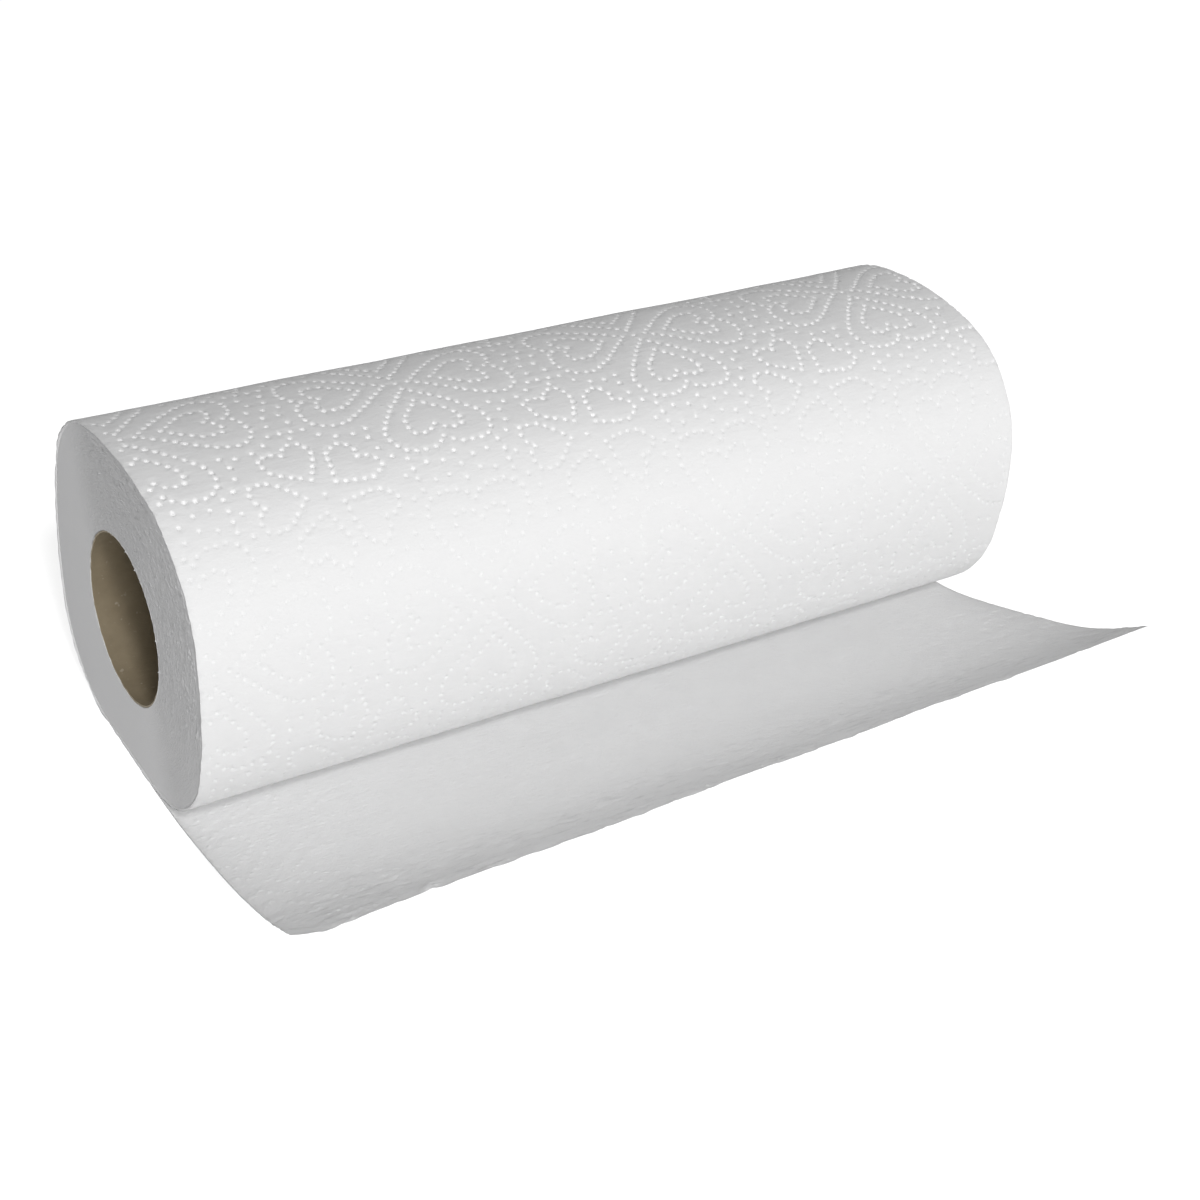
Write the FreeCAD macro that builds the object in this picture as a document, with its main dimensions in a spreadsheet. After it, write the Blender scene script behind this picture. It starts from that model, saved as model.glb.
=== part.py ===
import FreeCAD, Part
import math
import os
from Sketcher import Constraint

# A paper towel roll lying on its flattened side, with the loose end of its web curling up in front.
# X runs along the core, -Y is the front, +Z is up, and the origin is the middle of the core's bore.
# The near end of the roll is at -X and the far end at +X.
# Lengths are in millimetres and angles in degrees.

SIZES = {
    "roll_length": 230.0,        # width of the web, from end to end of the roll
    "seat_height": 38.4,         # core axis above the ground
    "front_reach": 44.8,         # core axis to the outermost point of the front
    "back_reach": 42.1,          # core axis to the outermost point of the back
    "top_reach": 43.1,           # core axis to the crown
    "belly_radius": 87.0,        # the slight bulge of the front, the crown and the back
    "low_front_radius": 30.4,    # the four rounded corners between the bulges and the flat seat
    "low_back_radius": 26.6,
    "top_back_radius": 26.9,
    "top_front_radius": 33.4,
    "core_bore_radius": 20.0,    # inside of the cardboard core
    "core_wall": 0.7,            # thickness of the cardboard
    "glue_line": 0.1,            # gap between the cardboard and the first turn of paper
    "sheet_gauge": 0.5,          # one thickness of the embossed paper
    "near_tail_length": 80.7,    # loose paper beyond the seat, along the near edge
    "near_lift": 6.5,            # turn of the near edge over its first, second and third stretch
    "near_bend": 8.2,
    "near_curl": 18.4,
    "far_tail_length": 92.7,     # loose paper beyond the seat, along the far edge
    "far_lift": 18.0,            # turn of the far edge over its first, second and third stretch
    "far_bend": 3.0,
    "far_curl": 19.4,
    "shown_turns": 7,            # turns of the line that marks the winding on each end
    "turn_line_width": 0.5,      # width of that line
    "turn_line_depth": 0.6,      # its depth below the end
    "inner_turn": 0.8,           # paper left between the line and the bore
}

TAIL_STRETCHES = 3               # arcs of equal length along each edge of the loose paper
ARCS_PER_TURN = 8                # arcs in one turn of the winding line
CUT_CLEARANCE = 1.0              # how far a cutting solid stands out of what it cuts

doc = FreeCAD.newDocument("paper_towel_roll")
sheet = doc.addObject("Spreadsheet::Sheet", "Sizes")
for row, (alias, number) in enumerate(SIZES.items(), start=1):
    sheet.set(f"A{row}", alias)
    sheet.set(f"B{row}", str(number))
    sheet.setAlias(f"B{row}", alias)
doc.recompute()


def size(alias):
    return float(sheet.get(alias))


def origin_plane(body, role):
    for feature in body.Origin.OriginFeatures:
        if feature.Role == role:
            return feature
    raise ValueError(f"no origin plane {role}")


def new_sketch(body, name, role):
    sketch = body.newObject("Sketcher::SketchObject", name)
    sketch.AttachmentSupport = [(origin_plane(body, role), "")]
    sketch.MapMode = "FlatFace"
    return sketch


def bind(sketch, name, constraint, formula):
    # adds a named constraint and ties its value to the sheet
    index = sketch.addConstraint(constraint)
    sketch.renameConstraint(index, name)
    sketch.setExpression(f"Constraints.{name}", formula)


def arc(centre, radius, start, end):
    circle = Part.Circle(FreeCAD.Vector(centre[0], centre[1], 0), FreeCAD.Vector(0, 0, 1), radius)
    return Part.ArcOfCircle(circle, math.radians(start), math.radians(end))


def line(start, end):
    return Part.LineSegment(FreeCAD.Vector(start[0], start[1], 0), FreeCAD.Vector(end[0], end[1], 0))


def bearing(centre, point):
    # direction from one point to another, in degrees from +Y towards +Z
    return math.degrees(math.atan2(point[1] - centre[1], point[0] - centre[0]))


# The roll's outline, seen from the far end with the back on the right.
# Each rounded corner lies inside its two bulges and is tangent to both.

def bulge_centres():
    belly = size("belly_radius")
    back = (size("back_reach") - belly, 0.0)
    top = (0.0, size("top_reach") - belly)
    front = (belly - size("front_reach"), 0.0)
    return back, top, front


def corner_under_top(side_centre, top_centre, corner_radius):
    # the bulges share one radius, so the corner's centre is equally far from both of their centres
    inner = size("belly_radius") - corner_radius
    across = top_centre[0] - side_centre[0]
    up = top_centre[1] - side_centre[1]
    span = math.hypot(across, up)
    rise = math.copysign(math.sqrt(inner ** 2 - (span / 2) ** 2), across)
    return (
        (side_centre[0] + top_centre[0]) / 2 - rise * up / span,
        (side_centre[1] + top_centre[1]) / 2 + rise * across / span,
    )


def corner_on_seat(side_centre, corner_radius):
    height = corner_radius - size("seat_height")
    across = math.sqrt((size("belly_radius") - corner_radius) ** 2 - height ** 2)
    outward = math.copysign(1.0, -side_centre[0])
    return (side_centre[0] + across * outward, height)


def outline_arcs():
    # (centre, radius, start, end) of each arc, in order from the back end of the seat
    belly = size("belly_radius")
    back, top, front = bulge_centres()
    low_back = corner_on_seat(back, size("low_back_radius"))
    top_back = corner_under_top(back, top, size("top_back_radius"))
    top_front = corner_under_top(front, top, size("top_front_radius"))
    low_front = corner_on_seat(front, size("low_front_radius"))
    back_starts = bearing(back, low_back)
    back_ends = bearing(back, top_back)
    top_starts = bearing(top, top_back)
    top_ends = bearing(top, top_front)
    front_starts = bearing(front, top_front)
    front_ends = bearing(front, low_front) % 360.0
    return [
        (low_back, size("low_back_radius"), -90.0, back_starts),
        (back, belly, back_starts, back_ends),
        (top_back, size("top_back_radius"), back_ends, top_starts),
        (top, belly, top_starts, top_ends),
        (top_front, size("top_front_radius"), top_ends, front_starts),
        (front, belly, front_starts, front_ends),
        (low_front, size("low_front_radius"), front_ends, 270.0),
    ]


def outline_reach(angle):
    # distance from the core axis to the outline in one direction
    aim = (math.cos(math.radians(angle)), math.sin(math.radians(angle)))
    for centre, radius, start, end in outline_arcs():
        along = aim[0] * centre[0] + aim[1] * centre[1]
        inside = along ** 2 - (centre[0] ** 2 + centre[1] ** 2 - radius ** 2)
        reach = along + math.sqrt(inside)
        normal = bearing(centre, (reach * aim[0], reach * aim[1]))
        if (normal - start) % 360.0 <= end - start:
            return reach
    return -size("seat_height") / aim[1]


def seat_front():
    # where the flat seat ends and the loose paper starts to lift
    return corner_on_seat(bulge_centres()[2], size("low_front_radius"))[0]


def paper_bore():
    return size("core_bore_radius") + size("core_wall") + size("glue_line")


# The same two values as formulas for the sketches.

SEAT_FRONT = (
    "sqrt((Sizes.belly_radius - Sizes.low_front_radius)^2 - (Sizes.seat_height - Sizes.low_front_radius)^2)"
    " - (Sizes.belly_radius - Sizes.front_reach)"
)
PAPER_BORE = "Sizes.core_bore_radius + Sizes.core_wall + Sizes.glue_line"


def draw_section(body):
    sketch = new_sketch(body, "RollSection", "YZ_Plane")
    arcs = outline_arcs()
    seat = -size("seat_height")
    sketch.addGeometry(line((seat_front(), seat), (arcs[0][0][0], seat)))
    for centre, radius, start, end in arcs:
        sketch.addGeometry(arc(centre, radius, start, end))
    low_back, back, top_back, top, top_front, front, low_front = range(1, 8)
    for index in range(8):
        sketch.addConstraint(Constraint("Tangent", index, 2, (index + 1) % 8, 1))
    sketch.addConstraint(Constraint("Horizontal", 0))
    sketch.addConstraint(Constraint("PointOnObject", back, 3, -1))
    sketch.addConstraint(Constraint("PointOnObject", front, 3, -1))
    sketch.addConstraint(Constraint("PointOnObject", top, 3, -2))
    belly = size("belly_radius")
    bind(sketch, "seat_height", Constraint("DistanceY", 0, 1, -1, 1, -seat), "Sizes.seat_height")
    bind(sketch, "back_centre", Constraint("DistanceX", back, 3, -1, 1, belly - size("back_reach")),
         "Sizes.belly_radius - Sizes.back_reach")
    bind(sketch, "top_centre", Constraint("DistanceY", top, 3, -1, 1, belly - size("top_reach")),
         "Sizes.belly_radius - Sizes.top_reach")
    bind(sketch, "front_centre", Constraint("DistanceX", -1, 1, front, 3, belly - size("front_reach")),
         "Sizes.belly_radius - Sizes.front_reach")
    radii = [
        (low_back, "low_back_radius"),
        (top_back, "top_back_radius"),
        (top_front, "top_front_radius"),
        (low_front, "low_front_radius"),
    ]
    for index, alias in radii:
        bind(sketch, alias, Constraint("Radius", index, size(alias)), f"Sizes.{alias}")
    for index, name in [(back, "back_belly"), (top, "top_belly"), (front, "front_belly")]:
        bind(sketch, name, Constraint("Radius", index, belly), "Sizes.belly_radius")
    return sketch


def above(point, heading, distance):
    # the point at a distance from another, square to an edge that rises towards the front by heading
    lean = math.radians(heading)
    return (point[0] + distance * math.sin(lean), point[1] + distance * math.cos(lean))


def draw_tail_edge(body, side, place):
    # One edge of the loose paper: flat under the roll, then three arcs, each tangent to the last.
    # side is "near" or "far", and place is the formula for its distance along the roll.
    name = side.capitalize() + "TailEdge"
    sketch = new_sketch(body, name, "YZ_Plane")
    sketch.setExpression("AttachmentOffset.Base.z", place)
    seat = -size("seat_height")
    gauge = size("sheet_gauge")
    stretch = size(f"{side}_tail_length") / TAIL_STRETCHES
    turns = [size(f"{side}_{part}") for part in ("lift", "bend", "curl")]
    under = []
    over = []
    point = (seat_front(), seat)
    heading = 0.0
    for turn in turns:
        radius = stretch / math.radians(turn)
        centre = above(point, heading, radius)
        start = 270.0 - heading - turn
        end = 270.0 - heading
        under.append((centre, radius, start, end))
        over.append((centre, radius - gauge, start, end))
        heading += turn
        point = above(centre, heading, -radius)

    sketch.addGeometry(line((0.0, seat), (seat_front(), seat)))
    for piece in under:
        sketch.addGeometry(arc(*piece))
    sketch.addGeometry(line(point, above(point, heading, gauge)))
    for piece in reversed(over):
        sketch.addGeometry(arc(*piece))
    sketch.addGeometry(line((seat_front(), seat + gauge), (0.0, seat + gauge)))
    sketch.addGeometry(line((0.0, seat + gauge), (0.0, seat)))

    bottom, lift, bend, curl, tip, over_curl, over_bend, over_lift, top, root = range(10)
    joints = [
        ("Tangent", bottom, 2, lift, 2),
        ("Tangent", lift, 1, bend, 2),
        ("Tangent", bend, 1, curl, 2),
        ("Perpendicular", curl, 1, tip, 1),
        ("Coincident", tip, 2, over_curl, 1),
        ("Tangent", over_curl, 2, over_bend, 1),
        ("Tangent", over_bend, 2, over_lift, 1),
        ("Tangent", over_lift, 2, top, 1),
        ("Coincident", top, 2, root, 1),
        ("Coincident", root, 2, bottom, 1),
        ("Coincident", over_curl, 3, curl, 3),
        ("Coincident", over_bend, 3, bend, 3),
        ("Coincident", over_lift, 3, lift, 3),
    ]
    for joint in joints:
        sketch.addConstraint(Constraint(*joint))
    sketch.addConstraint(Constraint("Horizontal", bottom))
    sketch.addConstraint(Constraint("Horizontal", top))
    sketch.addConstraint(Constraint("PointOnObject", bottom, 1, -2))
    sketch.addConstraint(Constraint("PointOnObject", top, 2, -2))
    bind(sketch, "seat_height", Constraint("DistanceY", bottom, 1, -1, 1, -seat), "Sizes.seat_height")
    bind(sketch, "seat_front", Constraint("DistanceX", bottom, 2, -1, 1, -seat_front()), SEAT_FRONT)
    bind(sketch, "gauge", Constraint("Distance", tip, gauge), "Sizes.sheet_gauge")
    for index, part, turn in zip((lift, bend, curl), ("lift", "bend", "curl"), turns):
        angle = f"Sizes.{side}_{part}"
        radius = f"Sizes.{side}_tail_length / {TAIL_STRETCHES} / {angle} * 180 / pi"
        bind(sketch, f"{part}_radius", Constraint("Radius", index, stretch / math.radians(turn)), radius)
        bind(sketch, f"{part}_turn", Constraint("Angle", index, math.radians(turn)), f"{angle} * 1 deg")
    return sketch


def draw_circles(body, name, radii):
    # circles about the core axis; radii is a list of (name, radius, formula)
    sketch = new_sketch(body, name, "YZ_Plane")
    for index, (label, radius, formula) in enumerate(radii):
        sketch.addGeometry(Part.Circle(FreeCAD.Vector(0, 0, 0), FreeCAD.Vector(0, 0, 1), radius))
        sketch.addConstraint(Constraint("Coincident", index, 3, -1, 1))
        bind(sketch, label, Constraint("Radius", index, radius), formula)
    return sketch


def build_web():
    # the whole paper web: the wound turns and the loose end that lies in front of them
    body = doc.addObject("PartDesign::Body", "Web")
    wound = body.newObject("PartDesign::Pad", "WoundTurns")
    wound.Profile = draw_section(body)
    wound.SideType = "Symmetric"
    wound.setExpression("Length", "Sizes.roll_length")

    tail = body.newObject("PartDesign::AdditiveLoft", "LooseEnd")
    tail.Profile = draw_tail_edge(body, "near", "-Sizes.roll_length / 2")
    tail.Sections = [draw_tail_edge(body, "far", "Sizes.roll_length / 2")]
    tail.Ruled = True
    doc.recompute()

    bore = body.newObject("PartDesign::Pocket", "PaperBore")
    bore.Profile = draw_circles(body, "PaperBoreCircle", [("bore", paper_bore(), PAPER_BORE)])
    bore.SideType = "Symmetric"
    bore.setExpression("Length", f"Sizes.roll_length + {2 * CUT_CLEARANCE}")
    body.Tip = bore
    return body


def arc_chain(points):
    # arcs end to end, each through three points
    return [Part.Arc(*points[index:index + 3]).toShape() for index in range(0, len(points) - 2, 2)]


def winding_line_face(place):
    # a narrow spiral band in the section's plane, from the outermost turn in to the bore
    gauge = size("sheet_gauge")
    half_width = size("turn_line_width") / 2
    turns = size("shown_turns")
    start = bearing((0.0, 0.0), (seat_front(), -size("seat_height")))
    steps = 2 * round(turns * ARCS_PER_TURN)
    outer_side = []
    inner_side = []
    for step in range(steps + 1):
        angle = start + 360.0 * turns * step / steps
        reach = outline_reach(angle)
        first_depth = gauge + half_width
        last_depth = reach - paper_bore() - size("inner_turn") - half_width
        depth = first_depth + (last_depth - first_depth) * step / steps
        aim = FreeCAD.Vector(0, math.cos(math.radians(angle)), math.sin(math.radians(angle)))
        outer_side.append(place + aim * (reach - depth + half_width))
        inner_side.append(place + aim * (reach - depth - half_width))
    inner_end = Part.LineSegment(outer_side[-1], inner_side[-1]).toShape()
    outer_end = Part.LineSegment(inner_side[0], outer_side[0]).toShape()
    return Part.Face(Part.Wire([*arc_chain(outer_side), inner_end, *arc_chain(inner_side)[::-1], outer_end]))


def build_winding_line():
    # the solids that cut the line of the turns into both ends
    end = size("roll_length") / 2
    depth = size("turn_line_depth")
    far_face = winding_line_face(FreeCAD.Vector(end - depth, 0, 0))
    near_face = winding_line_face(FreeCAD.Vector(depth - end, 0, 0))
    cutter = doc.addObject("Part::Feature", "WindingLine")
    cutter.Shape = Part.Compound([
        far_face.extrude(FreeCAD.Vector(depth + CUT_CLEARANCE, 0, 0)),
        near_face.extrude(FreeCAD.Vector(-depth - CUT_CLEARANCE, 0, 0)),
    ])
    cutter.Placement = FreeCAD.Placement()
    return cutter


def build_towel_roll():
    roll = doc.addObject("Part::Cut", "TowelRoll")
    roll.Base = build_web()
    roll.Tool = build_winding_line()
    roll.Label = "towel_roll"
    roll.Placement = FreeCAD.Placement()
    return roll


def build_core():
    # the cardboard tube, cut flush with the paper at both ends
    body = doc.addObject("PartDesign::Body", "Core")
    body.Label = "cardboard_core"
    inner = size("core_bore_radius")
    outer = inner + size("core_wall")
    tube = body.newObject("PartDesign::Pad", "Tube")
    tube.Profile = draw_circles(body, "TubeCircles", [
        ("inner", inner, "Sizes.core_bore_radius"),
        ("outer", outer, "Sizes.core_bore_radius + Sizes.core_wall"),
    ])
    tube.SideType = "Symmetric"
    tube.setExpression("Length", "Sizes.roll_length")
    body.Placement = FreeCAD.Placement()
    return body


parts = [build_towel_roll(), build_core()]
doc.recompute()

for item in doc.Objects:
    if "Invalid" in item.State or "Error" in item.State:
        raise RuntimeError(f"{item.Name} failed: {item.State}")
for item in parts:
    if item.Shape.isNull() or not item.Shape.isValid() or len(item.Shape.Solids) != 1:
        raise RuntimeError(f"{item.Label} is not one valid solid")

os.makedirs("parts", exist_ok=True)
for item in parts:
    item.Shape.exportStep(f"parts/{item.Label}.step")
    box = item.Shape.BoundBox
    print(f"{item.Label}: {item.Shape.Volume:.0f} mm3, X {box.XMin:.2f} to {box.XMax:.2f}, "
          f"Y {box.YMin:.2f} to {box.YMax:.2f}, Z {box.ZMin:.2f} to {box.ZMax:.2f}")
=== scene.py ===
import math
import random

import bpy
import numpy as np
from mathutils import Matrix, Vector, geometry, kdtree, noise


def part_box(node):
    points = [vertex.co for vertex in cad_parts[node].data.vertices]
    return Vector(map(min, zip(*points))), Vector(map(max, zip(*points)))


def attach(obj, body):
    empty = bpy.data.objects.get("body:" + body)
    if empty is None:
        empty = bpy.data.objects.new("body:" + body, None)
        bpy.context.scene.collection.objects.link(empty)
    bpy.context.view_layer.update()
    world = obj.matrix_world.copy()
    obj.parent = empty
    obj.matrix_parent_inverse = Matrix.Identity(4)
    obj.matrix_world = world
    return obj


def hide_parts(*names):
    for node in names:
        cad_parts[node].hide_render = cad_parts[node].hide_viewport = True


# Kitchen roll on its flattened side, loose end curling up in front.
# X runs along the core, -Y is the front, +Z is up. Metres everywhere.

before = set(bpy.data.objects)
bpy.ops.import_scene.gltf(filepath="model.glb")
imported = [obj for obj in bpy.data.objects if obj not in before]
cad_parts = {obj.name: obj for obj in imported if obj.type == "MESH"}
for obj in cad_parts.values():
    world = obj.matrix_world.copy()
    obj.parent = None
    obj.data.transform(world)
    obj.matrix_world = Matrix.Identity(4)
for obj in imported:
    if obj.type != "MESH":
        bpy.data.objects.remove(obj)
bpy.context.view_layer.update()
print("frame loaded")

mm = 0.001
rollLow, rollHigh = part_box("towel_roll")
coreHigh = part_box("cardboard_core")[1]
halfLength = rollHigh.x

rollShape = {
    "seatHeight": -rollLow.z,
    "topReach": rollHigh.z,
    "backReach": rollHigh.y,
    "frontReach": 44.8 * mm,
    "bellyRadius": 87.0 * mm,      # slight bulge of front, crown and back
    "lowFront": 30.4 * mm,         # corner radii
    "lowBack": 26.6 * mm,
    "topBack": 26.9 * mm,
    "topFront": 33.4 * mm,
    "paperBore": coreHigh.z,       # the turns start on the cardboard
    "gauge": 0.5 * mm,             # embossed paper
}


def softStep(value, low, high):
    share = np.clip((value - low) / (high - low), 0.0, 1.0)
    return share * share * (3.0 - 2.0 * share)


def noiseAt(across, along, size, layer):
    # smooth noise from -1 to 1, the same for every run
    return np.array([noise.noise((u, v, layer)) for u, v in zip(across / size, along / size)])


def noiseAlong(distance, size, layer):
    return noiseAt(distance, distance * 0, size, layer)


# Outline of the roll, from the front of the seat along the ground, up the back and over to the front

def cornerUnderTop(sideCentre, topCentre, radius):
    inner = rollShape["bellyRadius"] - radius
    reach = topCentre - sideCentre
    rise = math.copysign(math.sqrt(inner ** 2 - (reach.length / 2) ** 2), reach.x)
    return (sideCentre + topCentre) / 2 + rise * Vector((-reach.y, reach.x)).normalized()


def cornerOnSeat(sideCentre, radius):
    height = radius - rollShape["seatHeight"]
    across = math.sqrt((rollShape["bellyRadius"] - radius) ** 2 - height ** 2)
    return Vector((sideCentre.x - math.copysign(across, sideCentre.x), height))


def bearing(centre, point):
    return math.atan2(point.y - centre.y, point.x - centre.x)


def outlineArcs():
    belly = rollShape["bellyRadius"]
    back = Vector((rollShape["backReach"] - belly, 0))
    top = Vector((0, rollShape["topReach"] - belly))
    front = Vector((belly - rollShape["frontReach"], 0))
    lowBack = cornerOnSeat(back, rollShape["lowBack"])
    topBack = cornerUnderTop(back, top, rollShape["topBack"])
    topFront = cornerUnderTop(front, top, rollShape["topFront"])
    lowFront = cornerOnSeat(front, rollShape["lowFront"])
    turns = [
        (lowBack, rollShape["lowBack"], bearing(back, lowBack)),
        (back, belly, bearing(back, topBack)),
        (topBack, rollShape["topBack"], bearing(top, topBack)),
        (top, belly, bearing(top, topFront)),
        (topFront, rollShape["topFront"], bearing(front, topFront)),
        (front, belly, bearing(front, lowFront) % math.tau),
        (lowFront, rollShape["lowFront"], 1.5 * math.pi),
    ]
    arcs = []
    start = -0.5 * math.pi
    for centre, radius, end in turns:
        arcs.append((centre, radius, start, end))
        start = end
    return arcs


rollArcs = outlineArcs()
seatFront = rollArcs[-1][0].x
seatBack = rollArcs[0][0].x
seatLength = seatBack - seatFront
turnLength = seatLength + sum(radius * (end - start) for _, radius, start, end in rollArcs)


def alongTurn(distance):
    # place in Y and Z, and the outward direction, at distances along the turn
    place = np.empty((len(distance), 2))
    outward = np.empty((len(distance), 2))
    onSeat = distance <= seatLength
    place[onSeat, 0] = seatFront + distance[onSeat]
    place[onSeat, 1] = -rollShape["seatHeight"]
    outward[onSeat] = (0.0, -1.0)
    start = seatLength
    for centre, radius, first, last in rollArcs:
        inside = distance > start
        angle = first + (distance[inside] - start) / radius
        outward[inside] = np.stack((np.cos(angle), np.sin(angle)), 1)
        place[inside] = outward[inside] * radius + (centre.x, centre.y)
        start += radius * (last - first)
    return place, outward


# Embossing: dotted hearts in fours round a centre dot, flowers of five small hearts between them

emboss = {
    "pitchAcross": 67.5 * mm,       # repeat along the roll
    "pitchAlong": 66.0 * mm,        # repeat along the web
    "firstAcross": 3.75 * mm,       # first centre from the near edge
    "firstAlong": 80.5 * mm,        # first centre past the front of the seat, along the web
    "step": 2.3 * mm,               # between dots of a heart
    "nearest": 1.75 * mm,           # of two dots closer than this, one is left out
    "jitter": 0.10 * mm,
    "dotRadius": 0.88 * mm,
    "dotDepth": 0.60 * mm,
    "radiusSpread": (0.92, 1.08),
    "depthSpread": (0.8, 1.1),
    "corners": 6,                   # of the rings round a dot
    "apart": 0.485,                 # largest radius, in distances to the next dot
    "margin": 1.15,                 # radii from an edge within which no whole dot stands
    "clear": 1.25,                  # radii round a dot that stay free of other points
    "wallFoot": (0.50, 0.84),       # share of the radius and of the depth where the wall of a dot ends
    "edgeStep": 0.8 * mm,           # between the points along an edge
    "edgeDots": 0.35,               # share of the depth left where an edge cuts a dot
    "edgeFade": (0.3, 1.1),         # radii over which that ends
    "puff": 0.05 * mm,              # rise of the paper between the dots
    "puffReach": 4.0 * mm,
    "bigHeart": (3.2, 12.8, 21.2, 6.4, 27.2, 24.2),      # tip, half width, where, lobe, its end, notch
    "innerHeart": (9.5, 6.6, 18.0, 4.6, 22.0, 19.5),
    "smallHeart": (4.6, 6.2, 12.0, 4.0, 16.3, 14.3),
    # dots between two facing hearts: place of a column, dots in it, reach to either side
    "field": ((0, 3, 3.8), (3.9, 2, 1.9), (7.8, 2, 2.65), (11.7, 4, 4.25), (14.2, 1, 0)),
    # loose dots between the hearts and the flowers, in one quarter about the centre
    "corner": ((16.0, 16.3), (19.6, 17.0), (17.0, 19.6), (23.5, 16.6), (16.6, 23.5),
               (27.0, 14.7), (14.7, 27.0)),
}


def heartDots(shape):
    # evenly spaced points round a heart whose axis is +Y, in millimetres
    tip, halfWidth, widest, lobe, lobeEnd, notch = shape
    side = [Vector(p) for p in ((0, tip), (halfWidth * 0.4, tip + (widest - tip) * 0.34),
                                (halfWidth, widest - (widest - tip) * 0.26), (halfWidth, widest))]
    shoulder = [Vector(p) for p in ((halfWidth, widest), (halfWidth, lobeEnd - (lobeEnd - widest) * 0.25),
                                    (lobe + halfWidth * 0.3, lobeEnd), (lobe, lobeEnd))]
    dip = [Vector(p) for p in ((lobe, lobeEnd), (lobe * 0.45, lobeEnd),
                               (lobe * 0.12, notch + (lobeEnd - notch) * 0.5), (0, notch))]
    half = []
    for curve in (side, shoulder, dip):
        half += geometry.interpolate_bezier(*curve, 24)[:-1]
    half.append(dip[-1])
    line = np.array([(p.x, p.y) for p in half])
    length = np.concatenate(([0], np.cumsum(np.hypot(*np.diff(line, axis=0).T))))
    count = max(4, round(length[-1] / (emboss["step"] / mm)))
    marks = np.linspace(0, length[-1], count + 1)
    right = np.stack((np.interp(marks, length, line[:, 0]), np.interp(marks, length, line[:, 1])), 1)
    left = right[1:-1] * (-1, 1)
    return np.concatenate((right, left))


def turned(points, degrees):
    angle = math.radians(degrees)
    c, s = math.cos(angle), math.sin(angle)
    return points @ np.array(((c, s), (-s, c)))


def dotField():
    # loose columns of dots between the notches of two facing hearts, in millimetres
    dots = []
    for across, count, reach in emboss["field"]:
        places = np.linspace(-reach, reach, count) if count > 1 else (0,)
        for side in ((1, -1) if across else (1,)):
            dots += [(side * across, place) for place in places]
    return np.array(dots)


def embossCell():
    # every dot of one repeat, about the centre of the four hearts, in millimetres
    across = emboss["pitchAcross"] / mm
    along = emboss["pitchAlong"] / mm
    dots = [np.zeros((1, 2))]
    for degrees in (0, 90, 180, 270):
        dots.append(turned(heartDots(emboss["bigHeart"]), degrees))
        dots.append(turned(heartDots(emboss["innerHeart"]), degrees))
    dots.append(dotField() + (0, along / 2))
    dots.append(turned(dotField(), 90) + (across / 2, 0))
    flower = np.array((across / 2, along / 2))
    dots.append(flower[None, :])
    for degrees in (90, 162, 234, 306, 18):
        dots.append(turned(heartDots(emboss["smallHeart"]), degrees) + flower)
    for quarter in ((1, 1), (1, -1), (-1, 1), (-1, -1)):
        dots.append(np.array(emboss["corner"]) * quarter)
    return np.concatenate(dots) * mm


def embossDots(alongStart, alongEnd, seed):
    # place of every dot: across from the middle of the roll, and along the web
    cell = embossCell()
    dots = []
    for column in range(-1, math.ceil(2 * halfLength / emboss["pitchAcross"]) + 1):
        first = math.floor((alongStart - emboss["firstAlong"]) / emboss["pitchAlong"]) - 1
        last = math.ceil((alongEnd - emboss["firstAlong"]) / emboss["pitchAlong"]) + 1
        for row in range(first, last + 1):
            centre = (column * emboss["pitchAcross"] + emboss["firstAcross"] - halfLength,
                      row * emboss["pitchAlong"] + emboss["firstAlong"])
            dots.append(cell + centre)
    dots = np.concatenate(dots)
    rng = random.Random(seed)
    dots += np.array([(rng.gauss(0, 1), rng.gauss(0, 1)) for _ in dots]).clip(-2, 2) * emboss["jitter"]
    over = emboss["dotRadius"]
    keep = (np.abs(dots[:, 0]) < halfLength + over)
    keep &= (dots[:, 1] > alongStart - over) & (dots[:, 1] < alongEnd + over)
    dots = dots[keep]
    tree = kdtree.KDTree(len(dots))
    for index, dot in enumerate(dots):
        tree.insert((dot[0], dot[1], 0), index)
    tree.balance()
    dropped = set()
    for index, dot in enumerate(dots):
        if index in dropped:
            continue
        for _, other, _ in tree.find_range((dot[0], dot[1], 0), emboss["nearest"]):
            if other > index:
                dropped.add(other)
    return np.array([dot for index, dot in enumerate(dots) if index not in dropped])


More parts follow.
